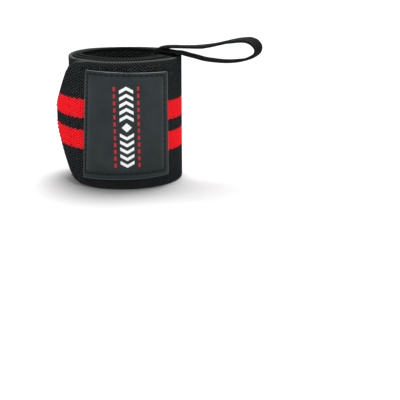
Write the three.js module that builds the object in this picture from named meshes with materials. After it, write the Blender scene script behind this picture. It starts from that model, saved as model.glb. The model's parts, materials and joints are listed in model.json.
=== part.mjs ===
// Wrist wrap, rolled up for storage: a woven elastic band with a stitched patch, a thumb
// loop at its inner end, and a hook tab at its outer end that holds the roll shut.
// Millimetres, +Z up. The roll stands on its lower edge, with the patch at the front (-Y).
//
// The band's route is told by a turning angle in degrees: 0 is the front, 90 the left side,
// 180 the back. It grows from the inner end outwards, so that each turn adds 360.

import * as THREE from 'three';
import { mergeVertices } from 'three/addons/utils/BufferGeometryUtils.js';

// Elastic band
const BAND_WIDTH = 76;
const BAND_THICKNESS = 2.4;
const ROLL_RADIUS = 34.1;        // middle of the outer turn, at the front
const TURN_GAP = 0.4;            // air between two turns
const TURN_RISE = 1.0;           // how far the inner turns have slipped up
const BACK_DEPTH = 0.90;         // the roll's back is pressed flatter than its front
const SIDE_SWELL = 0.4;          // how far its left side stands out of the round
const SWELL_ANGLE = 100;
const LOOP_ANGLE = -1154;        // where the thumb loop is sewn in, three turns further in
const HEM_LENGTH = 13;

// Stitched patch on the outer turn
const PATCH_LENGTH = 50;
const PATCH_HEIGHT = 64;
const PATCH_THICKNESS = 1.6;
const PATCH_END_ANGLE = 41;      // its left edge
const PATCH_SLANT = 4.2;         // how much further that edge reaches at the bottom
const PATCH_DROP = 2.4;          // how much lower the top edge is at the other end
const PATCH_RISE = 1.7;          // how much higher the bottom edge is there

// Outer end: the narrowing elastic, the tab under it, the end panel and the hook pad
const TIP_LENGTH = 48;           // elastic past the patch
const TAB_START = 12;            // cross seam past the patch
const TAB_END = 96;
const TAB_HEIGHT = 47;
const TAB_THICKNESS = 1.0;
const PANEL_LENGTH = 40;
const PANEL_HEIGHT = 48;
const PANEL_THICKNESS = 1.4;
const HOOK_THICKNESS = 1.2;
const HOOK_MARGIN = 3;           // from the hook pad's edge to the panel's edge
const BULGE = 5.8;               // how far the tab stands off the roll at mid height
const BULGE_HEIGHT = 63;         // the bulge dies out at this height

// Thumb loop
const TAPE_WIDTH = 12;
const TAPE_THICKNESS = 1.4;
const TAPE_SEWN = 9;             // length inside the hem
const LOOP_REACH = 59.6;         // from the hem to the loop's far end
const LOOP_HEIGHT = 13;          // between the two strands at their widest
const LOOP_RISE = 8.6;           // the loop's far end above the band's edge

const FIT = 0.3;                 // clearance between sewn pieces

// The elastic's half width past the patch: along is a share of TIP_LENGTH, half of BAND_WIDTH / 2.
const TIP_TAPER = [
  { along: -0.10, half: 1.00 },
  { along: 0.04, half: 0.98 },
  { along: 0.14, half: 0.96 },
  { along: 0.22, half: 0.90 },
  { along: 0.33, half: 0.81 },
  { along: 0.44, half: 0.66 },
  { along: 0.56, half: 0.50 },
  { along: 0.69, half: 0.35 },
  { along: 0.83, half: 0.20 },
  { along: 1.00, half: 0.16 },
];

// The outer end's way round the left side: past is a share of the arc from the patch to the
// landing on the back, bulge a share of BULGE, and step a share of the layers under it.
const LANDING_ANGLE = 148;
const OUTER_ROUTE = [
  { past: 0.00, bulge: 0.00, step: 0.00 },
  { past: 0.08, bulge: 0.00, step: 0.25 },
  { past: 0.17, bulge: 0.00, step: 0.45 },
  { past: 0.35, bulge: 0.26, step: 0.46 },
  { past: 0.44, bulge: 0.44, step: 0.48 },
  { past: 0.53, bulge: 0.72, step: 0.52 },
  { past: 0.60, bulge: 0.91, step: 0.60 },
  { past: 0.67, bulge: 1.00, step: 0.70 },
  { past: 0.75, bulge: 0.92, step: 0.84 },
  { past: 0.85, bulge: 0.56, step: 1.00 },
  { past: 0.94, bulge: 0.14, step: 1.00 },
  { past: 1.00, bulge: 0.00, step: 1.00 },
];

// The loop's route outside the hem, from its upper strand round to its lower one: out is a
// share of LOOP_REACH, up a share of LOOP_HEIGHT below or above the far end's height, and
// lean the tape's tilt in degrees, near edge up.
const LOOP_ROUTE = [
  { out: 0.04, up: -0.43, lean: 2 },
  { out: 0.11, up: -0.39, lean: 4 },
  { out: 0.22, up: -0.38, lean: 5 },
  { out: 0.34, up: -0.37, lean: 4 },
  { out: 0.45, up: -0.34, lean: 1 },
  { out: 0.53, up: -0.28, lean: 2 },
  { out: 0.61, up: -0.20, lean: 3 },
  { out: 0.68, up: -0.12, lean: 3 },
  { out: 0.76, up: -0.05, lean: 0 },
  { out: 0.84, up: 0.00, lean: -2 },
  { out: 0.91, up: -0.01, lean: -5 },
  { out: 0.97, up: -0.14, lean: -6 },
  { out: 1.00, up: -0.36, lean: -5 },
  { out: 0.99, up: -0.57, lean: -2 },
  { out: 0.94, up: -0.75, lean: 2 },
  { out: 0.87, up: -0.88, lean: 5 },
  { out: 0.78, up: -0.95, lean: 4 },
  { out: 0.69, up: -0.98, lean: 4 },
  { out: 0.61, up: -0.97, lean: 4 },
  { out: 0.53, up: -0.94, lean: 3 },
  { out: 0.45, up: -0.89, lean: 4 },
  { out: 0.38, up: -0.81, lean: 4 },
  { out: 0.30, up: -0.73, lean: 4 },
  { out: 0.22, up: -0.64, lean: 4 },
  { out: 0.14, up: -0.62, lean: 3 },
  { out: 0.05, up: -0.57, lean: 2 },
];

// Mesh fineness
const TURN_STEPS = 46;           // steps in one turn of the band
const OUTER_STEPS = 92;          // steps in a turn, past the patch
const HEM_STEPS = 4;
const BAND_ROWS = 6;
const PATCH_STEPS = 14;
const TAB_STEPS = 30;
const PANEL_STEPS = 15;
const TAPE_STEPS = 60;
const FOLD_STEPS = 6;
const SHORT_STEP = 1;            // no cut lies nearer than this to the elastic's tip
const AIM = 0.6;                 // half the stretch that gives the route's direction

const turnPitch = BAND_THICKNESS + TURN_GAP;
const midHeight = BAND_WIDTH / 2;
const slotDepth = 2 * TAPE_THICKNESS + 3 * FIT;
const foldRadius = (BAND_THICKNESS + slotDepth) / 2;
const rad = THREE.MathUtils.degToRad;
const deg = THREE.MathUtils.radToDeg;

// Reads one column of a table at a place in another, smoothly between the rows.
function readTable(rows, place, column, value) {
  const first = rows[0];
  const last = rows[rows.length - 1];
  if (value <= first[place]) return first[column];
  if (value >= last[place]) return last[column];
  const i = rows.findIndex((row) => row[place] > value);
  const slope = (k) => {
    const a = rows[Math.max(k - 1, 0)];
    const b = rows[Math.min(k + 1, rows.length - 1)];
    const turns = (b[column] - rows[k][column]) * (rows[k][column] - a[column]) <= 0;
    return turns ? 0 : (b[column] - a[column]) / (b[place] - a[place]);
  };
  const [a, b] = [rows[i - 1], rows[i]];
  const span = b[place] - a[place];
  const t = (value - a[place]) / span;
  const ease = t * t * (3 - 2 * t);
  const leave = t * (1 - t) * (1 - t) * slope(i - 1) * span;
  const arrive = t * t * (t - 1) * slope(i) * span;
  return a[column] + ease * (b[column] - a[column]) + leave + arrive;
}

// Layers between the band's middle and the turn below it, where the tab and hooks lie.
const layersUnder = BAND_THICKNESS / 2 + TAB_THICKNESS + HOOK_THICKNESS + 3 * FIT;
const stepOverLayers = (layersUnder + BAND_THICKNESS / 2) / BACK_DEPTH - turnPitch;

function spiralRadius(angle) {
  const swelling = SIDE_SWELL * Math.max(0, Math.cos(rad(angle - SWELL_ANGLE))) ** 2;
  return ROLL_RADIUS + turnPitch * angle / 360 + swelling;
}

// A point of the band's middle surface, inset towards the roll's axis, at a height z.
function routePoint(angle, inset, z) {
  let radius = spiralRadius(angle) - inset;
  if (angle > PATCH_END_ANGLE) {
    const past = (angle - PATCH_END_ANGLE) / (LANDING_ANGLE - PATCH_END_ANGLE);
    const bow = Math.max(0, 1 - ((z - midHeight) / (BULGE_HEIGHT / 2)) ** 2);
    radius += stepOverLayers * readTable(OUTER_ROUTE, 'past', 'step', past);
    radius += BULGE * bow * readTable(OUTER_ROUTE, 'past', 'bulge', past);
  }
  const turn = rad(angle);
  const depth = -radius * Math.cos(turn);
  return new THREE.Vector2(-radius * Math.sin(turn), depth > 0 ? depth * BACK_DEPTH : depth);
}

// Inner turns have slipped up a little, while the whole outer turn stands on its edge.
function turnRise(angle) {
  return TURN_RISE * THREE.MathUtils.clamp((angle + 360) / (LOOP_ANGLE + 360), 0, 1);
}

// The band's stations, from the free edge of the hem through its fold to the outer tip.
function bandStations() {
  const hemRadius = spiralRadius(LOOP_ANGLE) - foldRadius;
  const toFold = TAPE_WIDTH / 2 + FIT;
  const foldAngle = LOOP_ANGLE - deg(toFold / hemRadius);
  const stations = [];
  for (let i = 0; i < HEM_STEPS; i += 1) {
    const fromFold = HEM_LENGTH * (1 - i / HEM_STEPS);
    stations.push({ angle: foldAngle + deg(fromFold / hemRadius), inset: 2 * foldRadius });
  }
  for (let i = 0; i <= FOLD_STEPS; i += 1) {
    const around = Math.PI * (1 - i / FOLD_STEPS);
    const beyond = deg(foldRadius * Math.sin(around) / hemRadius);
    stations.push({ angle: foldAngle - beyond, inset: foldRadius * (1 - Math.cos(around)) });
  }
  const turnStep = 360 / TURN_STEPS;
  for (let angle = foldAngle + turnStep; angle < PATCH_END_ANGLE; angle += turnStep) {
    stations.push({ angle, inset: 0 });
  }
  for (let angle = PATCH_END_ANGLE; angle < PATCH_END_ANGLE + 360; angle += 360 / OUTER_STEPS) {
    stations.push({ angle, inset: 0 });
  }
  return stations;
}

// Length along the band, at mid height, counted from the patch's left edge.
function measured(stations) {
  let length = 0;
  stations.forEach((station, i) => {
    if (i > 0) {
      const before = stations[i - 1];
      const here = routePoint(station.angle, station.inset, midHeight);
      length += here.distanceTo(routePoint(before.angle, before.inset, midHeight));
    }
    station.length = length;
  });
  const patchEnd = stations.find((station) => station.angle >= PATCH_END_ANGLE && station.inset === 0);
  const zero = patchEnd.length;
  return stations.map((station) => ({ ...station, length: station.length - zero }));
}

const stations = measured(bandStations());

function stationAt(length) {
  const found = stations.findIndex((station) => station.length > length);
  const i = found < 0 ? stations.length - 1 : Math.max(found, 1);
  const [a, b] = [stations[i - 1], stations[i]];
  const t = (length - a.length) / (b.length - a.length);
  return { angle: a.angle + t * (b.angle - a.angle), inset: a.inset + t * (b.inset - a.inset) };
}

// A point beside the band's route: along it, out from its middle surface, at a height z.
function beside(length, out, z) {
  const place = (at) => {
    const station = stationAt(at);
    return routePoint(station.angle, station.inset, z);
  };
  const point = place(length);
  const run = place(length + AIM).sub(place(length - AIM)).normalize();
  return new THREE.Vector3(point.x - run.y * out, point.y + run.x * out, z);
}

// A closed strip: a box whose corners and cuts are moved by a placing function.
function strip(name, cuts, across, rows, place, material) {
  const box = new THREE.BoxGeometry(1, 1, 1, cuts, across, rows);
  box.deleteAttribute('normal');
  box.deleteAttribute('uv');
  const geometry = mergeVertices(box, 1e-4);
  const corners = geometry.attributes.position;
  for (let i = 0; i < corners.count; i += 1) {
    const share = [corners.getX(i) + 0.5, corners.getY(i), corners.getZ(i) + 0.5];
    const point = place(...share);
    corners.setXYZ(i, point.x, point.y, point.z);
  }
  geometry.computeVertexNormals();
  const mesh = new THREE.Mesh(geometry, material);
  mesh.name = name;
  return mesh;
}

function finish(color, roughness) {
  return new THREE.MeshStandardMaterial({ color, roughness, metalness: 0 });
}

// One length of elastic, with the inner end folded over the loop's tape and sewn down.
function elasticBand() {
  const lengths = stations.map((station) => station.length);
  const cutLengths = lengths.filter((length) => length < TIP_LENGTH - SHORT_STEP);
  cutLengths.push(TIP_LENGTH);
  const cuts = cutLengths.length - 1;
  const place = (along, side, up) => {
    const length = cutLengths[Math.round(along * cuts)];
    const half = midHeight * readTable(TIP_TAPER, 'along', 'half', length / TIP_LENGTH);
    const rise = turnRise(stationAt(length).angle);
    const z = midHeight + half * (2 * up - 1);
    const point = beside(length, side * BAND_THICKNESS, z);
    return point.setZ(z + rise);
  };
  return strip('elastic_band', cuts, 1, BAND_ROWS, place, finish(0x212526, 0.9));
}

// Padded patch, sewn on round its edge.
function labelPatch() {
  const outward = BAND_THICKNESS / 2 + FIT + PATCH_THICKNESS / 2;
  const place = (along, side, up) => {
    const left = PATCH_SLANT * (0.5 - up);
    const length = -PATCH_LENGTH * (1 - along) + left * along;
    const top = PATCH_HEIGHT / 2 + PATCH_DROP * (along - 0.5);
    const bottom = -PATCH_HEIGHT / 2 + PATCH_RISE * (1 - along);
    const z = midHeight + THREE.MathUtils.lerp(bottom, top, up);
    return beside(length, outward + side * PATCH_THICKNESS, z);
  };
  return strip('label_patch', PATCH_STEPS, 1, 4, place, finish(0x353c3e, 0.55));
}

// A layer of the outer end, from one length to another, centred on mid height.
function outerLayer(name, from, to, height, outward, thickness, steps, material) {
  const place = (along, side, up) => {
    const length = from + (to - from) * along;
    const z = midHeight + height * (up - 0.5);
    return beside(length, outward + side * thickness, z);
  };
  return strip(name, steps, 1, BAND_ROWS, place, material);
}

// Tab under the elastic, with the end panel on its outer side and the hooks on its inner.
function outerEnd() {
  const tabOut = -(BAND_THICKNESS / 2 + FIT + TAB_THICKNESS / 2);
  const panelOut = tabOut + TAB_THICKNESS / 2 + FIT + PANEL_THICKNESS / 2;
  const hookOut = tabOut - TAB_THICKNESS / 2 - FIT - HOOK_THICKNESS / 2;
  const panelStart = TAB_END - PANEL_LENGTH;
  const hookStart = panelStart + HOOK_MARGIN;
  const hookEnd = TAB_END - HOOK_MARGIN;
  const hookHeight = PANEL_HEIGHT - 2 * HOOK_MARGIN;
  const leather = finish(0x31383a, 0.5);
  const hooks = finish(0x1b1d1e, 0.95);
  return [
    outerLayer('hook_tab', TAB_START, TAB_END, TAB_HEIGHT, tabOut, TAB_THICKNESS, TAB_STEPS, leather),
    outerLayer('end_panel', panelStart, TAB_END, PANEL_HEIGHT, panelOut, PANEL_THICKNESS, PANEL_STEPS, leather),
    outerLayer('hook_pad', hookStart, hookEnd, hookHeight, hookOut, HOOK_THICKNESS, PANEL_STEPS, hooks),
  ];
}

// Tape doubled into a loop: both ends are sewn flat into the hem, and the rest leans out
// over the rim in the upright plane of LOOP_ANGLE.
function thumbLoop() {
  const turn = rad(LOOP_ANGLE);
  const outwards = new THREE.Vector3(-Math.sin(turn), -Math.cos(turn), 0);
  const sideways = new THREE.Vector3(-Math.cos(turn), Math.sin(turn), 0);
  const upwards = new THREE.Vector3(0, 0, 1);
  const edgeHeight = BAND_WIDTH + TURN_RISE;
  const slotRadius = spiralRadius(LOOP_ANGLE) - foldRadius;
  const strandApart = (TAPE_THICKNESS + FIT) / 2;
  const sewnHeights = [-TAPE_SEWN, -TAPE_SEWN / 2, -FIT, TAPE_THICKNESS];
  const sewnRows = (radius) => sewnHeights.map((rise) => (
    { radius, z: edgeHeight + rise, lean: 0, curled: 1 }
  ));
  const freeRows = LOOP_ROUTE.map((row) => ({
    radius: slotRadius + LOOP_REACH * row.out,
    z: edgeHeight + LOOP_RISE + LOOP_HEIGHT * row.up,
    lean: row.lean,
    curled: 0,
  }));
  const inner = sewnRows(slotRadius - strandApart);
  const outer = sewnRows(slotRadius + strandApart).reverse();
  const rows = [...inner, ...freeRows, ...outer];
  const curve = new THREE.CatmullRomCurve3(rows.map((row) => new THREE.Vector3(row.radius, 0, row.z)));
  const place = (along, side, up) => {
    const t = curve.getUtoTmapping(along);
    const flat = curve.getPoint(t);
    const at = t * (rows.length - 1);
    const i = Math.min(Math.floor(at), rows.length - 2);
    const between = (column) => THREE.MathUtils.lerp(rows[i][column], rows[i + 1][column], at - i);
    const lean = rad(between('lean'));
    const heading = curve.getTangent(t);
    const run = outwards.clone().multiplyScalar(heading.x).addScaledVector(upwards, heading.z);
    const width = sideways.clone().multiplyScalar(Math.cos(lean)).addScaledVector(upwards, Math.sin(lean));
    width.addScaledVector(run, -width.dot(run)).normalize();
    const face = width.clone().cross(run);
    const across = (up - 0.5) * TAPE_WIDTH;
    const sag = between('curled') * across * across / (2 * slotRadius);
    return outwards.clone().multiplyScalar(flat.x - sag)
      .addScaledVector(upwards, flat.z)
      .addScaledVector(width, across)
      .addScaledVector(face, side * TAPE_THICKNESS);
  };
  return strip('thumb_loop', TAPE_STEPS, 1, 4, place, finish(0x212424, 0.85));
}

// The origin is the middle of the whole object's box, on the surface that it stands on.
const wrap = new THREE.Group();
wrap.add(elasticBand(), labelPatch(), ...outerEnd(), thumbLoop());
const box = new THREE.Box3().setFromObject(wrap);
const middle = box.getCenter(new THREE.Vector3());
wrap.position.set(-middle.x, -middle.y, -box.min.z);

export default wrap;
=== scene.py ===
# Wrist wrap, rolled up and standing on its edge: a woven elastic band with a stitched patch,
# a thumb loop at its inner end and a hook-backed tab at its outer end. Metres, +Z up, the
# patch at the front (-Y). Each section makes one piece, or the layers of one end.
import json
import math

import bpy
import numpy as np
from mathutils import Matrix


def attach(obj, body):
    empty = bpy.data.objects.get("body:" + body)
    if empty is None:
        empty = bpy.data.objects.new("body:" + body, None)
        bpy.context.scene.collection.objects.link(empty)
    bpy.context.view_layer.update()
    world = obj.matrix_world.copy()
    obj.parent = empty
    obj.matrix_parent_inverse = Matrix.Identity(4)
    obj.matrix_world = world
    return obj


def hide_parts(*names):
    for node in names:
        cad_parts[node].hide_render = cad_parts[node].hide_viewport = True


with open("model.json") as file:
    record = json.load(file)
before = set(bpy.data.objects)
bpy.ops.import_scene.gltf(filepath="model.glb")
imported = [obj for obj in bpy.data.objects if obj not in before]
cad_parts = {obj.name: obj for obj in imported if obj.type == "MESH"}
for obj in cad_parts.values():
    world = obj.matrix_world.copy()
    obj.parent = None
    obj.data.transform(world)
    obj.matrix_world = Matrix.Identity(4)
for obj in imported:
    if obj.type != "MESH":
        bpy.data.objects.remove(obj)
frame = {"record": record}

bpy.ops.object.select_all(action="DESELECT")
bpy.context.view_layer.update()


# The camera stands about 0.6 m in front of the roll, a little above it, and leaves the roll
# at the upper left of its square picture.
mm = 0.001
roll_radius = 34.1 * mm
base = frame["record"]["mounts"][0]["pos_m"]
axis_x, axis_y = base[0], base[1] + roll_radius
camera_height = 157.93 * mm
camera_back = 587.89 * mm
camera_aside = 0.7 * mm
camera_turn = 4.40
camera_tilt = 16.60
lens_length = 87.12
film_width = 36
nearest_seen = 10 * mm

bpy.ops.object.camera_add(
    location=(axis_x + camera_aside, axis_y - camera_back, camera_height),
    rotation=(math.radians(90 - camera_tilt), 0, math.radians(-camera_turn)),
)
camera = bpy.context.object
camera.name = "photo_camera"
camera.data.lens = lens_length
camera.data.sensor_width = film_width
camera.data.clip_start = nearest_seen
bpy.context.scene.camera = camera
bpy.context.scene.view_settings.view_transform = "Standard"


# The floor is a wide sheet of pale paper. White surroundings light it from all sides, and a
# large soft lamp, high behind the roll, leaves a soft shadow in front of it.
paper_radius = 6
paper_sides = 96
surroundings_strength = 1.0
lamp_place = (0, 1, 2)
lamp_tilt = 19
lamp_lean = 6
lamp_spread = 38
lamp_strength = 7.5


class Wire:
    """A socket of a material, on which Python's signs add the nodes for the maths."""

    def __init__(self, tree, socket=None):
        self.tree = tree
        self.socket = socket

    def node(self, kind, settings, inputs, output=0):
        made = self.tree.nodes.new(kind)
        for name, value in settings.items():
            setattr(made, name, value)
        for name, value in inputs.items():
            if isinstance(value, Wire):
                self.tree.links.new(value.socket, made.inputs[name])
            else:
                made.inputs[name].default_value = value
        return Wire(self.tree, made.outputs[output])

    def maths(self, operation, *values):
        return self.node("ShaderNodeMath", {"operation": operation}, dict(enumerate(values)))

    def __add__(self, other):
        return self.maths("ADD", self, other)

    def __radd__(self, other):
        return self.maths("ADD", other, self)

    def __sub__(self, other):
        return self.maths("SUBTRACT", self, other)

    def __rsub__(self, other):
        return self.maths("SUBTRACT", other, self)

    def __mul__(self, other):
        return self.maths("MULTIPLY", self, other)

    def __rmul__(self, other):
        return self.maths("MULTIPLY", other, self)

    def __truediv__(self, other):
        return self.maths("DIVIDE", self, other)

    def __abs__(self):
        return self.maths("ABSOLUTE", self)


def ramp(value, low, high):
    """0 at low and before it, 1 at high and past it, smoothly between; low may be the larger."""
    ends = {"Value": value, "From Min": low, "From Max": high}
    return value.node("ShaderNodeMapRange", {"interpolation_type": "SMOOTHSTEP"}, ends)


def blend(mask, first, second):
    """A colour that goes from first to second with the mask."""
    return mask.node("ShaderNodeMix", {"data_type": "RGBA"}, {0: mask, 6: first, 7: second}, 2)


def noise(place, scale, detail):
    return place.node("ShaderNodeTexNoise", {}, {"Vector": place, "Scale": scale, "Detail": detail})


def new_finish(name, specular):
    """A new material, a first wire in it, and its shader."""
    material = bpy.data.materials.new(name)
    material.use_nodes = True
    shader = material.node_tree.nodes["Principled BSDF"]
    shader.inputs["Specular IOR Level"].default_value = specular
    return material, Wire(material.node_tree), shader


def set_finish(start, shader, color, roughness, height=None, depth=0.0):
    """Leads a colour, a roughness and a relief of some depth into the shader."""
    ways = {"Base Color": color, "Roughness": roughness}
    if height is not None:
        ways["Normal"] = start.node("ShaderNodeBump", {}, {"Distance": depth, "Height": height})
    for name, value in ways.items():
        if isinstance(value, Wire):
            start.tree.links.new(value.socket, shader.inputs[name])
        else:
            shader.inputs[name].default_value = value


def paper_finish():
    material, start, shader = new_finish("pale_paper", specular=0.1)
    place = start.node("ShaderNodeTexCoord", {}, {}, "Object")
    fibres = noise(place, scale=900.0, detail=3.0)
    color = blend(fibres, (0.36, 0.36, 0.36, 1), (0.38, 0.38, 0.38, 1))
    set_finish(start, shader, color, roughness=0.9)
    return material


bpy.ops.mesh.primitive_circle_add(
    vertices=paper_sides, radius=paper_radius, fill_type="NGON", location=(0, 0, 0)
)
floor = bpy.context.object
floor.name = "floor_paper"
floor.data.materials.append(paper_finish())

world = bpy.data.worlds.new("white_surroundings")
world.use_nodes = True
world.node_tree.nodes["Background"].inputs["Color"].default_value = (1, 1, 1, 1)
world.node_tree.nodes["Background"].inputs["Strength"].default_value = surroundings_strength
bpy.context.scene.world = world

bpy.ops.object.light_add(
    type="SUN", location=lamp_place,
    rotation=(math.radians(-lamp_tilt), math.radians(lamp_lean), 0),
)
lamp = bpy.context.object
lamp.name = "soft_lamp"
lamp.data.energy = lamp_strength
lamp.data.angle = math.radians(lamp_spread)


# The band is one length of black elastic, 76 mm wide, woven with two red stripes. It lies in
# a little over three turns. Its inner end is folded over the loop's tape and sewn down, its
# outer end is cut to a blunt point and sewn to the tab.
band_width = 76 * mm
band_thickness = 2.4 * mm
band_rounding = 0.9 * mm
turn_gap = 0.4 * mm
turn_rise = 1.0 * mm
back_depth = 0.90
side_swell = 0.4 * mm
swell_angle = 100
loop_angle = -1154
hem_length = 13 * mm
patch_end_angle = 41
landing_angle = 148
tip_length = 48 * mm
bulge = 5.8 * mm
bulge_height = 63 * mm
tab_thickness = 1.0 * mm
hook_thickness = 1.2 * mm
tape_width = 12 * mm
tape_thickness = 1.4 * mm
fit = 0.3 * mm
selvedge_pitch = 1.35 * mm
selvedge_depth = 0.12 * mm
rim_depth = 0.6 * mm
rim_wave = 0.22 * mm
short_wave, long_wave = 9 * mm, 23 * mm

# The mesh: rows of the hem's flap and fold, degrees between the rows of the turns, the pitch
# of the rows along the band, the pitch and rim of its lines as shares of its half width, and
# how far to both sides its direction is read.
flap_rows, fold_rows = 14, 25
station_step = 1.0
row_pitch = 0.45 * mm
line_share, rim_share = 0.15, 0.02
aim = 0.6 * mm

# The thread: the stitches' pitch, length and width, and the places of the band's own seams.
stitch_pitch, stitch_length = 3.1 * mm, 1.8 * mm
thread_width = 0.62 * mm
taper_seam_start, taper_seam_gap, taper_seam_inset = 15 * mm, 3 * mm, 2.6 * mm
cross_seam_at, cross_seam_inset = 12.5 * mm, 3 * mm
cross_pitch, cross_length = 4.4 * mm, 1.3 * mm
hem_seam_at, hem_seam_inset = 2.4 * mm, 2.5 * mm

# Half width of the elastic past the patch, as shares of tip_length and of band_width / 2.
TIP_TAPER = np.array(
    [
        (-0.10, 1.00), (0.04, 0.98), (0.14, 0.96), (0.22, 0.90), (0.33, 0.81),
        (0.44, 0.66), (0.56, 0.50), (0.69, 0.35), (0.83, 0.20), (1.00, 0.16),
    ],
    dtype=[("along", float), ("half", float)],
)

# The outer end's way round the left side: past is a share of the arc from the patch to the
# landing on the back, lift a share of the bulge, and step a share of the layers under it.
OUTER_ROUTE = np.array(
    [
        (0.00, 0.00, 0.00), (0.08, 0.00, 0.25), (0.17, 0.00, 0.45), (0.35, 0.26, 0.46),
        (0.44, 0.44, 0.48), (0.53, 0.72, 0.52), (0.60, 0.91, 0.60), (0.67, 1.00, 0.70),
        (0.75, 0.92, 0.84), (0.85, 0.56, 1.00), (0.94, 0.14, 1.00), (1.00, 0.00, 1.00),
    ],
    dtype=[("past", float), ("lift", float), ("step", float)],
)

# Lines of a mesh inside a rounded edge, as shares of its radius.
EDGE_SHARES = np.array([0, 0.08, 0.3, 0.62])

turn_pitch = band_thickness + turn_gap
mid_height = band_width / 2
slot_depth = 2 * tape_thickness + 3 * fit
fold_radius = (band_thickness + slot_depth) / 2
layers_under = band_thickness / 2 + tab_thickness + hook_thickness + 3 * fit
step_over_layers = (layers_under + band_thickness / 2) / back_depth - turn_pitch


def curve(share, span, start, end, leaving, arriving):
    """A smooth curve over a span, from its two levels and the slopes there."""
    left = 1 - share
    level = start * (1 + 2 * share) * left**2 + end * share**2 * (3 - 2 * share)
    return level + span * (leaving * share * left**2 - arriving * share**2 * left)


def eased(share):
    """The share itself at 0 and 1, and slow near both."""
    return share * share * (3 - 2 * share)


def unit(vectors):
    return vectors / np.linalg.norm(vectors, axis=-1, keepdims=True)


def lengths_along(points):
    """The way from the first point to each."""
    return np.concatenate([[0], np.cumsum(np.linalg.norm(np.diff(points, axis=0), axis=1))])


def read(rows, place, column, values):
    """One column of a table at places in another, smoothly between the rows."""
    at, level = rows[place], rows[column]
    rise = np.diff(level)
    slope = np.zeros(len(rows))
    chord = (level[2:] - level[:-2]) / (at[2:] - at[:-2])
    slope[1:-1] = np.where(rise[1:] * rise[:-1] <= 0, 0, chord)
    values = np.clip(values, at[0], at[-1])
    i = np.clip(np.searchsorted(at, values, side="right") - 1, 0, len(rows) - 2)
    span = at[i + 1] - at[i]
    return curve((values - at[i]) / span, span, level[i], level[i + 1], slope[i], slope[i + 1])


def spiral_radius(angle):
    swelling = side_swell * np.maximum(0, np.cos(np.radians(angle - swell_angle))) ** 2
    return roll_radius + turn_pitch * angle / 360 + swelling


def route(angle, inset, height):
    """The band's middle, seen from above: 0 is the front, 90 the left side, 180 the back."""
    past = (angle - patch_end_angle) / (landing_angle - patch_end_angle)
    bow = np.maximum(0, 1 - ((height - mid_height) / (bulge_height / 2)) ** 2)
    lift = bulge * bow * read(OUTER_ROUTE, "past", "lift", past)
    radius = spiral_radius(angle) - inset + lift
    radius = radius + step_over_layers * read(OUTER_ROUTE, "past", "step", past)
    turn = np.radians(angle)
    depth = -radius * np.cos(turn)
    depth = np.where(depth > 0, depth * back_depth, depth)
    return np.stack([axis_x - radius * np.sin(turn), axis_y + depth], -1)


def band_stations():
    """Angle, inset and length of the band's stations, from the hem's free edge outwards."""
    hem_radius = spiral_radius(loop_angle) - fold_radius
    fold_angle = loop_angle - math.degrees((tape_width / 2 + fit) / hem_radius)
    from_fold = np.linspace(hem_length, 0, flap_rows)[:-1]
    around = np.linspace(math.pi, 0, fold_rows)
    inner_turns = np.arange(fold_angle + station_step, patch_end_angle, station_step)
    outer_turn = np.arange(patch_end_angle, patch_end_angle + 360, station_step)
    angles = np.concatenate([
        fold_angle + np.degrees(from_fold / hem_radius),
        fold_angle - np.degrees(fold_radius * np.sin(around) / hem_radius),
        inner_turns,
        outer_turn,
    ])
    spiral = np.zeros(len(inner_turns) + len(outer_turn))
    flap = np.full(len(from_fold), 2 * fold_radius)
    insets = np.concatenate([flap, fold_radius * (1 - np.cos(around)), spiral])
    lengths = lengths_along(route(angles, insets, mid_height))
    return angles, insets, lengths - lengths[len(angles) - len(outer_turn)]


station_angles, station_insets, station_lengths = band_stations()


def on_roll(along, across, out):
    """Points of the roll: along the band from the patch's left edge, across it from mid
    height, and out from its middle surface."""
    height = mid_height + across

    def middle(at):
        angle = np.interp(at, station_lengths, station_angles)
        return route(angle, np.interp(at, station_lengths, station_insets), height)

    run = unit(middle(along + aim) - middle(along - aim))
    flat = middle(along)
    angle = np.interp(along, station_lengths, station_angles)
    slipped = turn_rise * np.clip((angle + 360) / (loop_angle + 360), 0, 1)
    x = flat[..., 0] - run[..., 1] * out
    y = flat[..., 1] + run[..., 0] * out
    return np.stack([x, y, height + slipped], -1)


def edge_lines(start, end, step, rounding):
    """Places from start to end, a step apart and closer where the edges are rounded."""
    near = rounding * EDGE_SHARES
    count = max(2, round((end - start - 2 * rounding) / step) + 1)
    middle = np.linspace(start + rounding, end - rounding, count)
    return np.concatenate([start + near, middle, (end - near)[::-1]])


def rounded(distance, rounding):
    """Share of the full thickness at a distance from a rounded edge."""
    return np.sqrt(1 - (1 - np.clip(distance / rounding, 0, 1)) ** 2)


def linked(name, points, faces, finish):
    """A mesh object at the origin, with one finish."""
    mesh = bpy.data.meshes.new(name)
    mesh.from_pydata(points.tolist(), [], faces)
    mesh.materials.append(finish)
    piece = bpy.data.objects.new(name, mesh)
    bpy.context.collection.objects.link(piece)
    return piece


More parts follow.
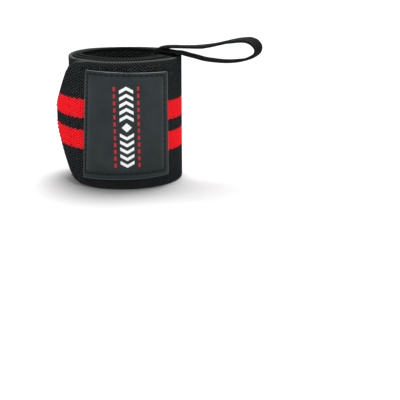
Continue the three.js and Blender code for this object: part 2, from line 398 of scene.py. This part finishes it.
def cloth(name, outer, inner, flat, finish, from_seam=None):
    """A closed sheet from the grids of its two faces, which meet along all four edges. It
    keeps each point's place on the flat piece, and its distance from the seam."""
    rows, columns = outer.shape[:2]
    front = np.arange(rows * columns).reshape(rows, columns)
    inside = np.zeros((rows, columns), bool)
    inside[1:-1, 1:-1] = True
    back = front.copy()
    back[inside] = rows * columns + np.arange(inside.sum())

    def both(first, second):
        second = second[inside].reshape(inside.sum(), -1)
        return np.concatenate([first.reshape(rows * columns, -1), second])

    def quads(grid):
        corners = [grid[:-1, :-1], grid[1:, :-1], grid[1:, 1:], grid[:-1, 1:]]
        return np.stack(corners, -1).reshape(-1, 4)

    faces = np.concatenate([quads(front), quads(back)[:, ::-1]])
    piece = linked(name, both(outer, inner), faces.tolist(), finish)
    kept = [("flat", "FLOAT_VECTOR", "vector", flat), ("seam", "FLOAT", "value", from_seam)]
    for attribute, kind, field, values in kept:
        if values is not None:
            made = piece.data.attributes.new(attribute, kind, "POINT")
            made.data.foreach_set(field, both(values, values).astype(np.float32).ravel())
    bpy.ops.object.select_all(action="DESELECT")
    bpy.context.view_layer.objects.active = piece
    piece.select_set(True)
    bpy.ops.object.mode_set(mode="EDIT")
    bpy.ops.mesh.select_all(action="SELECT")
    bpy.ops.mesh.normals_make_consistent(inside=False)
    bpy.ops.object.mode_set(mode="OBJECT")
    bpy.ops.object.shade_smooth()
    piece.select_set(False)
    return piece


def rolled_cloth(name, along, across, edge, outer, inner, finish, from_seam=None):
    """A sheet of the roll, between two distances from the band's middle surface."""
    faces = [on_roll(along, across, out) for out in (outer, inner)]
    return cloth(name, *faces, np.stack([along, across, edge], -1), finish, from_seam)


def flat_places(start):
    """Place, along, across and edge distance on the piece's flat form, in millimetres."""
    place = start.node("ShaderNodeAttribute", {"attribute_name": "flat"}, {}, "Vector")
    scaled = {0: place, "Scale": 1 / mm}
    wide = start.node("ShaderNodeVectorMath", {"operation": "SCALE"}, scaled)
    parts = [start.node("ShaderNodeSeparateXYZ", {}, {0: wide}, i) for i in range(3)]
    return [wide, *parts]


def ripple(value, pitch):
    return value.maths("SINE", value * (2 * math.pi / pitch))


def elastic_finish():
    """Black herringbone of fine ribs with two jagged-edged red stripes and a rope-like
    selvedge. All lengths in it are in millimetres."""
    rib_pitch, rib_leg = 1.7, 2.0
    legs_before = 500
    weft_pitch = 1.33
    rope_pitch, rope_slant = 1.55, 0.8
    stripe_middle, stripe_half = 9.25, 5.6
    stripe_blur, stripe_teeth = 0.12, 0.4
    stripe_drop = 2.1
    drop_start, drop_end = -6, -60
    outer_turn, turn_blur = 210, 8
    material, start, shader = new_finish("black_elastic_red_stripes", specular=0.0)
    wide, along, across, edge = flat_places(start)

    zigzag = along.maths("PINGPONG", along + legs_before * rib_leg, rib_leg)
    weave = ripple(across + zigzag, rib_pitch) * 0.36 + ripple(along, weft_pitch) * 0.14 + 0.5
    patchy = noise(wide, scale=0.5, detail=2.0)
    specks = noise(wide, scale=1.0, detail=1.0)
    light = ramp(weave + (specks - 0.5) * 1.3, 0.52, 0.87)
    dark = ramp(weave + (patchy - 0.5) * 1.1, 0.5, 0.2)
    black = blend(light, (0.0078, 0.0096, 0.0103, 1), (0.044, 0.050, 0.050, 1))
    black = blend(dark * 0.9, black, (0.0008, 0.0010, 0.0012, 1))
    red = blend(light, (0.82, 0.0050, 0.0095, 1), (0.98, 0.033, 0.042, 1))
    red = blend(dark * 0.6, red, (0.42, 0.0020, 0.006, 1))

    drift = across + ramp(along, drop_start, drop_end) * stripe_drop
    teeth = (zigzag - rib_leg / 2) * stripe_teeth
    from_stripe = abs(abs(drift) - stripe_middle) + teeth
    stripe = ramp(from_stripe, stripe_half + stripe_blur, stripe_half - stripe_blur)
    color = blend(stripe, black, red)

    rope = ripple(along + edge * rope_slant, rope_pitch)
    rope_color = blend(ramp(rope, -0.3, 0.6), (0.001, 0.0012, 0.0012, 1), (0.040, 0.043, 0.042, 1))
    color = blend(ramp(edge, 2.9, 2.3) * 0.9, color, rope_color)
    rim = ramp(edge + (specks - 0.5) * 0.6, 1.0, 0.6)
    rim_color = blend(ramp(rope, -1.4, 1.0), (0.012, 0.013, 0.013, 1), (0.062, 0.066, 0.064, 1))
    color = blend(rim * 0.9, color, rim_color)

    # Painted shade: the rims of the inner turns, inside the hollow and between the turns, are
    # darkened nearly to black.
    inner = ramp(along, turn_blur - outer_turn, -outer_turn) * ramp(edge, 3.0, 2.0) * 0.75
    color = blend(inner, color, (0.003, 0.004, 0.004, 1))
    height = weave * (1 - rim) + (rope * 0.5 + 0.5) * rim
    set_finish(start, shader, color, 0.82, height, depth=0.16 * mm)
    return material


def taper_half(along):
    return mid_height * read(TIP_TAPER, "along", "half", along / tip_length)


def elastic_band():
    """The band, its length and the area of its flat form."""
    start, end = station_lengths[0], tip_length
    along = edge_lines(start, end, row_pitch, band_rounding)[:, None]
    half = taper_half(along)
    shares = edge_lines(-1, 1, line_share, rim_share)
    edge_steps = band_rounding * EDGE_SHARES
    last_step = len(EDGE_SHARES) - 1
    from_edge = np.minimum(np.arange(len(shares)), np.arange(len(shares))[::-1])
    inner = shares * (half - band_rounding) / (1 - rim_share)
    rim = np.sign(shares) * (half - edge_steps[np.minimum(from_edge, last_step)])
    across = np.where(from_edge <= last_step, rim, inner)
    scallop = selvedge_depth * (0.5 + 0.5 * np.cos(2 * math.pi * along / selvedge_pitch))
    at_rim = np.clip(1 - (half - np.abs(across)) / rim_depth, 0, 1)
    waver = rim_wave * (np.sin(along / short_wave) + np.sin(along / long_wave + 1))
    top = np.clip(across / mid_height, 0, 1) ** 3
    edge = np.minimum(half - np.abs(across), np.minimum(along - start, end - along))
    thick = band_thickness / 2 * rounded(edge, band_rounding)
    across = across - np.sign(across) * scallop * at_rim + (waver - rim_wave) * top
    along = along + 0 * across
    band = rolled_cloth("woven_elastic", along, across, edge, thick, -thick, elastic_finish())
    area = 2 * taper_half(np.linspace(start, end, 2000)).mean() * (end - start)
    return band, end - start, area


def thread_finish():
    material, start, shader = new_finish("black_thread", specular=0.1)
    place = start.node("ShaderNodeTexCoord", {}, {}, "Object")
    twist = noise(place, scale=3500.0, detail=2.0)
    color = blend(twist, (0.0010, 0.0012, 0.0013, 1), (0.006, 0.0065, 0.0065, 1))
    set_finish(start, shader, color, roughness=0.6)
    return material


def stitch_shape():
    """Points and faces of one stitch, a long bead of unit size that lies along X."""
    bpy.ops.mesh.primitive_uv_sphere_add(
        segments=8, ring_count=6, radius=1, rotation=(0, math.pi / 2, 0)
    )
    bpy.ops.object.transform_apply(location=False, rotation=True, scale=False)
    pattern = bpy.context.object
    points = np.array([vertex.co[:] for vertex in pattern.data.vertices])
    faces = [list(face.vertices) for face in pattern.data.polygons]
    bpy.data.objects.remove(pattern)
    return points, faces


black_thread = thread_finish()
stitch_points, stitch_faces = stitch_shape()


def stitches(name, path, out, pitch=stitch_pitch, length=stitch_length):
    """A row of thread stitches on the roll, along a path of flat (along, across) places."""
    path = np.array(path)
    run = lengths_along(path)
    count = int(run[-1] / pitch)
    x, y, z = stitch_points[:, :1], stitch_points[:, 1:2], stitch_points[:, 2]
    points, faces = [], []
    for i in range(count):
        middle = (i + 0.5) * run[-1] / count
        ends = [middle - length / 2, middle + length / 2]
        first, last = [np.array([np.interp(at, run, path[:, k]) for k in (0, 1)]) for at in ends]
        ahead = unit(last - first)
        beside = np.array([-ahead[1], ahead[0]])
        flat = (first + last) / 2 + x * ahead * length / 2 + y * beside * thread_width / 2
        lift = out + thread_width * (0.5 * z + 0.25 - 0.5 * x[:, 0] ** 2)
        faces.extend([[v + len(stitch_points) * i for v in face] for face in stitch_faces])
        points.append(on_roll(flat[:, 0], flat[:, 1], lift))
    row = linked(name, np.concatenate(points), faces, black_thread)
    row.data.shade_smooth()
    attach(row, "root")
    return row


band, band_length, band_area = elastic_band()
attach(band, "root")
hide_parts("elastic_band")

band_face = band_thickness / 2
taper_lengths = np.linspace(taper_seam_start, tip_length - taper_seam_gap, 40)
taper_across = taper_half(taper_lengths) - taper_seam_inset
upper_side = zip(taper_lengths, taper_across)
lower_side = zip(taper_lengths[::-1], -taper_across[::-1])
taper_thread = stitches("taper_thread", [*upper_side, *lower_side], band_face)
cross_half = mid_height - cross_seam_inset
cross_path = [(cross_seam_at, -cross_half), (cross_seam_at, cross_half)]
cross_thread = stitches("cross_thread", cross_path, band_face, cross_pitch, cross_length)
hem_at, hem_half = station_lengths[0] + hem_seam_at, mid_height - hem_seam_inset
hem_thread = stitches("hem_thread", [(hem_at, -hem_half), (hem_at, hem_half)], band_face)


# The patch is padded synthetic leather, sewn on round its edge through a raised lip with a paler cut
# edge that carries a painted highlight.
# Its print is a plain column of white chevrons between two rows of short red dashes.
patch_length = 50 * mm
patch_height = 64 * mm
patch_thickness = 1.6 * mm
patch_slant = 4.2 * mm
patch_drop = 2.0 * mm
patch_rise = 1.0 * mm
patch_sag = 0.3 * mm
patch_corner = 0.9 * mm
patch_rounding = 0.3 * mm
left_inset, right_inset = 2.0 * mm, 3.0 * mm
top_inset, bottom_inset = 1.9 * mm, 3.4 * mm
pad_rise = 0.6 * mm
pad_start, pad_ease = 0.2 * mm, 2.4 * mm
groove_depth, groove_half = 0.3 * mm, 0.5 * mm
patch_thread_sunk = 0.32 * mm
leather_pitch = 0.8 * mm
patch_dark, patch_pale = (0.0155, 0.0220, 0.0238, 1), (0.0225, 0.0300, 0.0318, 1)
print_white, print_red = (0.86, 0.88, 0.88, 1), (0.62, 0.012, 0.02, 1)
patch_out = band_thickness / 2 + fit + patch_thickness / 2


def leather_finish(name, low, high, print_middle=None):
    """Fine-grained synthetic leather with a pale cut edge, a painted highlight along it that is
    brighter on top, and painted shade in its stitch groove.
    """
    top_edge = 30
    material, start, shader = new_finish(name, specular=0.17)
    wide, along, across, edge = flat_places(start)
    cells = {"Vector": wide, "Scale": 2.2}
    grain = start.node("ShaderNodeTexVoronoi", {"feature": "SMOOTH_F1"}, cells)
    fine = noise(wide, scale=5.0, detail=3.0)
    cloud = noise(wide, scale=0.07, detail=2.0)
    color = blend(ramp(cloud + (fine - 0.5) * 0.25, 0.3, 0.7), low, high)
    if print_middle is not None:
        color = printed(color, along - print_middle / mm, across)
    seam = start.node("ShaderNodeAttribute", {"attribute_name": "seam"}, {}, "Fac") / mm
    shade = ramp(abs(seam + 0.2), 1.2, 0.3)
    color = blend(shade * 0.35, color, (0.003, 0.0035, 0.0038, 1))
    # Paler edges: partly the leather's pale cut edge and partly a painted highlight, narrower and
    # brighter along the top edge, where the light falls.
    at_top = ramp(across, top_edge - 0.5, top_edge + 0.5)
    pale_edge_and_painted_highlight = ramp(edge * (0.24 + at_top * 0.76) + (fine - 0.5) * 0.1, 0.2, 0.05)
    pale = blend(ramp(cloud, 0.35, 0.6), (0.09, 0.095, 0.095, 1), (0.20, 0.21, 0.21, 1))
    pale = blend(at_top, (0.085, 0.091, 0.092, 1), pale)
    color = blend(pale_edge_and_painted_highlight * 0.9, color, pale)
    roughness = 0.42 + fine * 0.14 + shade * 0.2
    set_finish(start, shader, color, roughness, grain * 0.6 + fine * 0.4, depth=0.05 * mm)
    return material


def printed(color, along, across):
    """White chevrons that point away from a small diamond, with red dashes on both sides. All
    lengths in it are in millimetres."""
    pitch = 4.1
    chevron_slope = 0.62
    chevrons_start, chevrons_end = 5.6, 25.8
    chevron_middle, chevron_half = 0.24, 0.24
    dashes_aside, dashes_end = 6.3, 24.6
    out, aside = abs(across), abs(along)
    lifted = out + aside * chevron_slope
    waves = lifted.maths("FRACT", (lifted - chevrons_start) / pitch)
    from_middle = abs(waves - chevron_middle)
    chevrons = ramp(from_middle, chevron_half + 0.015, chevron_half - 0.015) * ramp(aside, 3.75, 3.6)
    chevrons = chevrons * ramp(lifted, chevrons_start - 0.1, chevrons_start + 0.05)
    chevrons = chevrons * ramp(lifted, chevrons_end + 0.1, chevrons_end - 0.1)
    diamond = ramp(out + aside, 2.75, 2.6)
    white = chevrons.maths("MAXIMUM", chevrons, diamond)
    beat = out.maths("FRACT", out / pitch)
    dashes = ramp(abs(aside - dashes_aside), 0.62, 0.5) * ramp(abs(beat - 0.5), 0.3, 0.27)
    dashes = dashes * ramp(out, dashes_end + 0.1, dashes_end - 0.1)
    return blend(dashes, blend(white, color, print_white), print_red)


def leather_grid(start, end, height, rounding):
    """Lines along and across a piece of leather, and their distance from its ends and sides."""
    a = edge_lines(start, end, leather_pitch, rounding)[:, None]
    b = edge_lines(-height / 2, height / 2, leather_pitch, rounding)[None, :]
    to_end = np.minimum(a - start, end - a) + 0 * b
    to_side = height / 2 - np.abs(b) + 0 * a
    return a, b, to_end, to_side


def corner_share(to_end, corner, height):
    """Share of the height that is left by the round corners at a distance from the end."""
    near = np.clip(corner - to_end, 0, corner)
    return 1 - (corner - np.sqrt(corner**2 - near**2)) / (height / 2)


def label_patch():
    a, b, to_end, to_side = leather_grid(0, patch_length, patch_height, patch_rounding)
    edge = np.minimum(to_end, to_side)
    share, up = a / patch_length, b / patch_height + 0.5
    along = -patch_length * (1 - share) + patch_slant * (0.5 - up) * share
    top = patch_height / 2 - patch_sag + patch_drop * (share - 0.5)
    bottom = -patch_height / 2 + patch_rise * (1 - share)
    across = (bottom + (top - bottom) * up) * corner_share(to_end, patch_corner, patch_height)
    from_ends = np.minimum(patch_length - a - left_inset, a - right_inset)
    from_sides = np.minimum(patch_height / 2 - b - top_inset, patch_height / 2 + b - bottom_inset)
    from_seam = np.minimum(from_ends, from_sides)
    swell = np.clip((from_seam - pad_start) / pad_ease, 0, 1)
    groove = groove_depth * np.exp(-((from_seam / groove_half) ** 2))
    shape = rounded(edge, patch_rounding)
    outer = patch_out + shape * (patch_thickness / 2 + pad_rise * eased(swell) - groove)
    inner = patch_out - shape * patch_thickness / 2
    finish = leather_finish("patch_leather_print", patch_dark, patch_pale, -patch_length / 2)
    return rolled_cloth("stitched_patch", along, across, edge, outer, inner, finish, from_seam)


def patch_seam():
    left_top = -left_inset - patch_slant * 0.5
    left_bottom = -left_inset + patch_slant * 0.5
    right = -patch_length + right_inset
    bottom_left = -patch_height / 2 + bottom_inset
    bottom_right = bottom_left + patch_rise
    top_left = patch_height / 2 - patch_sag + patch_drop / 2 - top_inset
    top_right = top_left - patch_drop
    lower = [(right, bottom_right), (left_bottom, bottom_left)]
    return [*lower, (left_top, top_left), (right, top_right), lower[0]]


patch = label_patch()
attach(patch, "root")
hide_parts("label_patch")
patch_thread_out = patch_out + patch_thickness / 2 - patch_thread_sunk
patch_thread = stitches("patch_thread", patch_seam(), patch_thread_out)


# The closing tab is thin synthetic leather under the elastic's point. An end panel with a
# stitched border covers its outer side, and a pad of hook fastener its inner side.
tab_start = 12 * mm
tab_end = 96 * mm
tab_height = 47 * mm
panel_length = 40 * mm
panel_height = 48 * mm
panel_thickness = 1.4 * mm
panel_corner = 5 * mm
panel_swelling = 0.5 * mm
panel_thread_sunk = 0.1 * mm
seam_inset = 2.4 * mm
layer_rounding = 0.35 * mm
swell_start, swell_ease = 0.3 * mm, 2.4 * mm
bend_points = 5
hook_margin = 3 * mm
hook_corner = 3 * mm
hook_base = 0.4 * mm
tab_dark, tab_pale = (0.013, 0.017, 0.019, 1), (0.019, 0.024, 0.026, 1)
panel_dark, panel_pale = (0.017, 0.022, 0.025, 1), (0.024, 0.030, 0.033, 1)
tab_out = -(band_thickness / 2 + fit + tab_thickness / 2)
panel_out = tab_out + tab_thickness / 2 + fit + panel_thickness / 2
hook_out = tab_out - tab_thickness / 2 - fit - hook_thickness / 2
panel_start = tab_end - panel_length


def layer(name, start, end, height, middle_out, thickness, corner, finish, swelling=0.0):
    """A flat layer of the outer end with rounded corners, padded inside its seam."""
    rounding = min(layer_rounding, thickness / 2)
    a, b, to_end, to_side = leather_grid(start, end, height, rounding)
    edge = np.minimum(to_end, to_side)
    across = b * corner_share(to_end, corner, height)
    from_seam = edge - seam_inset
    swell = np.clip((from_seam - swell_start) / swell_ease, 0, 1)
    shape = rounded(edge, rounding)
    outer = middle_out + shape * (thickness / 2 + swelling * eased(swell))
    inner = middle_out - shape * thickness / 2
    sheet = rolled_cloth(name, a + 0 * b, across, edge, outer, inner, finish, from_seam)
    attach(sheet, "root")
    return sheet


def border(start, end, height, corner):
    """The four rounded corners of a seam, seam_inset inside a layer's edge: upper outer, upper
    inner, lower inner and lower outer, and the first place again."""
    left, right = start + seam_inset, end - seam_inset
    half = height / 2 - seam_inset
    bend = max(corner - seam_inset, 0.5 * mm)
    path = []
    for x, y, turn in [(right, half, 0), (left, half, 90), (left, -half, 180), (right, -half, 270)]:
        center_x = x - bend if x == right else x + bend
        center_y = y - bend if y > 0 else y + bend
        for angle in np.radians(np.linspace(turn, turn + 90, bend_points)):
            path.append((center_x + bend * math.cos(angle), center_y + bend * math.sin(angle)))
    return [*path, path[0]]


tab_leather = leather_finish("tab_leather_grain", tab_dark, tab_pale)
panel_leather = leather_finish("panel_leather_grain", panel_dark, panel_pale)
tab = layer("closing_tab", tab_start, tab_end, tab_height, tab_out, tab_thickness,
            panel_corner, tab_leather)
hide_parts("hook_tab")
tab_seam = border(tab_start, tab_end, tab_height, panel_corner)[2 * bend_points:]
tab_thread = stitches("tab_thread", tab_seam, tab_out + tab_thickness / 2)

panel = layer("padded_end_panel", panel_start, tab_end, panel_height, panel_out, panel_thickness,
              panel_corner, panel_leather, panel_swelling)
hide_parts("end_panel")
panel_seam = border(panel_start, tab_end, panel_height, panel_corner)
panel_thread_out = panel_out + panel_thickness / 2 - panel_thread_sunk
panel_thread = stitches("panel_thread", panel_seam, panel_thread_out)


def hook_finish():
    material, start, shader = new_finish("black_hook_fastener", specular=0.3)
    place = start.node("ShaderNodeTexCoord", {}, {}, "Object")
    mould = noise(place, scale=1500.0, detail=2.0)
    color = blend(mould, (0.003, 0.003, 0.0035, 1), (0.013, 0.013, 0.014, 1))
    set_finish(start, shader, color, 0.5, mould, depth=0.05 * mm)
    return material


def hook_shape():
    """Places along, across and out of one bent hook's rings of points, and its faces."""
    wire = 0.11 * mm
    reach = 0.6 * mm
    crown = 0.22 * mm
    bend = np.linspace(0, 1.35 * math.pi, 6)
    arch_along = np.concatenate([[0], crown * (1 - np.cos(bend))])
    arch_out = np.concatenate([[0], reach + crown * np.sin(bend)])
    around = np.linspace(0, 2 * math.pi, 5)[:-1]
    heading = np.gradient(np.stack([arch_along, arch_out]), axis=1)
    heading /= np.linalg.norm(heading, axis=0)
    along = arch_along[:, None] + wire * np.cos(around) * heading[1][:, None]
    out = arch_out[:, None] - wire * np.cos(around) * heading[0][:, None]
    across = 0 * along + wire * np.sin(around)
    rings, sides = along.shape
    faces = [list(range(sides))[::-1], [(rings - 1) * sides + k for k in range(sides)]]
    for ring in range(0, (rings - 1) * sides, sides):
        for k in range(sides):
            after = (k + 1) % sides
            faces.append([ring + k, ring + after, ring + sides + after, ring + sides + k])
    return along.ravel(), across.ravel(), out.ravel(), faces


def hook_rows(start, end, height, foot, finish):
    """Rows of small hooks that reach from the pad's base to the band and face both ways."""
    pitch = 1.6 * mm
    hook_along, hook_across, hook_reach, hook_faces = hook_shape()
    points, faces = [], []
    for row, along in enumerate(np.arange(start + pitch, end - pitch, pitch)):
        for column, across in enumerate(np.arange(pitch - height / 2, height / 2 - pitch, pitch)):
            facing = 1 if (row + column) % 2 else -1
            first = len(points) * len(hook_along)
            turned = along + facing * hook_along
            points.append(on_roll(turned, across + hook_across, foot - hook_reach))
            faces.extend([[v + first for v in face[::facing]] for face in hook_faces])
    return linked("hook_rows", np.concatenate(points), faces, finish)


hook_start, hook_end = panel_start + hook_margin, tab_end - hook_margin
hook_height = panel_height - 2 * hook_margin
hook_base_out = hook_out + hook_thickness / 2 - hook_base / 2
black_hooks = hook_finish()
pad = layer("hook_fastener_base", hook_start, hook_end, hook_height, hook_base_out, hook_base,
            hook_corner, black_hooks)
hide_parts("hook_pad")
hooks = hook_rows(hook_start, hook_end, hook_height, hook_base_out - hook_base / 2, black_hooks)
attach(hooks, "root")


# The thumb loop is a flat woven tape, doubled. Both ends are sewn into the folded hem, and
# the rest leans out over the rim to the right, a little twisted at its far end.
tape_sewn = 9 * mm
tape_body = 1.65 * mm
tape_rounding = 0.6 * mm
tape_end_rounding = 0.5 * mm
tape_row_pitch, tape_line_pitch = 0.8 * mm, 1.2 * mm
line_points = 1500
loop_reach = 59.6 * mm
loop_height = 13 * mm
loop_rise = 8.6 * mm
far_twist = 10
twist_start, twist_ease = 0.78, 0.2

# From the upper strand round to the lower one: out is a share of loop_reach, up a share of
# loop_height above or below a level loop_rise over the rim, and lean the tape's tilt in degrees.
LOOP_ROUTE = np.array(
    [
        (0.04, -0.43, 2), (0.11, -0.39, 4), (0.22, -0.38, 5), (0.34, -0.37, 4), (0.45, -0.34, 1),
        (0.53, -0.28, 2), (0.61, -0.20, 3), (0.68, -0.12, 3), (0.76, -0.05, 0), (0.84, 0.00, -2),
        (0.91, -0.01, -5), (0.97, -0.14, -6), (1.00, -0.36, -5), (0.99, -0.57, -2), (0.94, -0.75, 2),
        (0.87, -0.88, 5), (0.78, -0.95, 4), (0.69, -0.98, 4), (0.61, -0.97, 4), (0.53, -0.94, 3),
        (0.45, -0.89, 4), (0.38, -0.81, 4), (0.30, -0.73, 4), (0.22, -0.64, 4), (0.14, -0.62, 3),
        (0.05, -0.57, 2),
    ],
    dtype=[("out", float), ("up", float), ("lean", float)],
)


def tape_finish():
    pick_pitch, end_pitch = 0.9, 1.3
    material, start, shader = new_finish("black_woven_tape", specular=0.02)
    wide, along, across, edge = flat_places(start)
    weave = ripple(along, pick_pitch) * ripple(across, end_pitch) * 0.5 + 0.5
    specks = noise(wide, scale=1.4, detail=2.0)
    light = ramp(weave + (specks - 0.5) * 0.8, 0.5, 1.0)
    color = blend(light, (0.0026, 0.0031, 0.0031, 1), (0.0105, 0.0118, 0.0115, 1))
    color = blend(ramp(edge, 1.0, 0.3) * 0.5, color, (0.017, 0.018, 0.0175, 1))
    set_finish(start, shader, color, 0.75, weave, depth=0.12 * mm)
    return material


def loop_knots(slot_radius):
    """Radius and height of the tape's middle from one sewn end to the other, its lean, and
    where it is curled like the band."""
    rim_height = band_width + turn_rise
    strand_apart = (tape_thickness + fit) / 2
    sewn = rim_height + np.array([-tape_sewn, -tape_sewn / 2, -fit, tape_thickness])
    held, free = np.ones(len(sewn)), np.zeros(len(LOOP_ROUTE))
    free_radius = slot_radius + loop_reach * LOOP_ROUTE["out"]
    free_height = rim_height + loop_rise + loop_height * LOOP_ROUTE["up"]
    lower, upper = (slot_radius - strand_apart) * held, (slot_radius + strand_apart) * held
    radius = np.concatenate([lower, free_radius, upper])
    height = np.concatenate([sewn, free_height, sewn[::-1]])
    lean = np.concatenate([0 * held, LOOP_ROUTE["lean"], 0 * held])
    return np.stack([radius, height], -1), lean, np.concatenate([held, free, held])


def thumb_loop():
    """The loop of tape and its whole length."""
    turn = math.radians(loop_angle)
    outwards = np.array([-math.sin(turn), -math.cos(turn), 0])
    sideways = np.array([-math.cos(turn), math.sin(turn), 0])
    upwards = np.array([0, 0, 1])
    axis = np.array([axis_x, axis_y, 0])
    slot_radius = spiral_radius(loop_angle) - fold_radius

    knots, leans, curls = loop_knots(slot_radius)
    chords = lengths_along(knots)
    slope = np.gradient(knots, chords, axis=0)
    fine = np.linspace(0, chords[-1], line_points)
    i = np.clip(np.searchsorted(chords, fine, side="right") - 1, 0, len(chords) - 2)
    span = (chords[i + 1] - chords[i])[:, None]
    share = (fine - chords[i])[:, None] / span
    line = curve(share, span, knots[i], knots[i + 1], slope[i], slope[i + 1])
    run_length = lengths_along(line)
    length = run_length[-1]

    a = edge_lines(0, length, tape_row_pitch, tape_end_rounding)
    b = edge_lines(-tape_width / 2, tape_width / 2, tape_line_pitch, tape_rounding)
    knot_at = np.interp(a, run_length, fine)
    tilt = np.radians(np.interp(knot_at, chords, leans))[:, None]
    curl = np.interp(knot_at, chords, curls)[:, None]

    def at_rows(columns):
        return [np.interp(a, run_length, column)[:, None] for column in columns.T]

    radius, height = at_rows(line)
    ahead, rising = at_rows(np.gradient(line, run_length, axis=0))
    run = unit(ahead * outwards + rising * upwards)
    far = np.clip(((radius - slot_radius) / loop_reach - twist_start) / twist_ease, 0, 1)
    twist = math.radians(far_twist) * eased(far)
    width = np.cos(tilt) * sideways + np.sin(tilt) * upwards - np.sin(twist) * outwards
    width = unit(width - run * np.sum(width * run, axis=1, keepdims=True))
    face = np.cross(width, run)

    across = b[None, :, None]
    sag = curl[:, None, :] * across**2 / (2 * slot_radius)
    middle = axis + (radius[:, :, None] - sag) * outwards + height[:, :, None] * upwards
    middle = middle + across * width[:, None, :]
    edge = np.minimum(np.minimum(a, length - a)[:, None], tape_width / 2 - np.abs(b))
    half_body = face[:, None, :] * (tape_body / 2 * rounded(edge, tape_rounding))[:, :, None]
    flat = np.stack([a[:, None] + 0 * edge, b + 0 * edge, edge], -1)
    loop = cloth("thumb_tape", middle + half_body, middle - half_body, flat, tape_finish())
    return loop, length


loop, loop_length = thumb_loop()
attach(loop, "root")
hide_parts("thumb_loop")
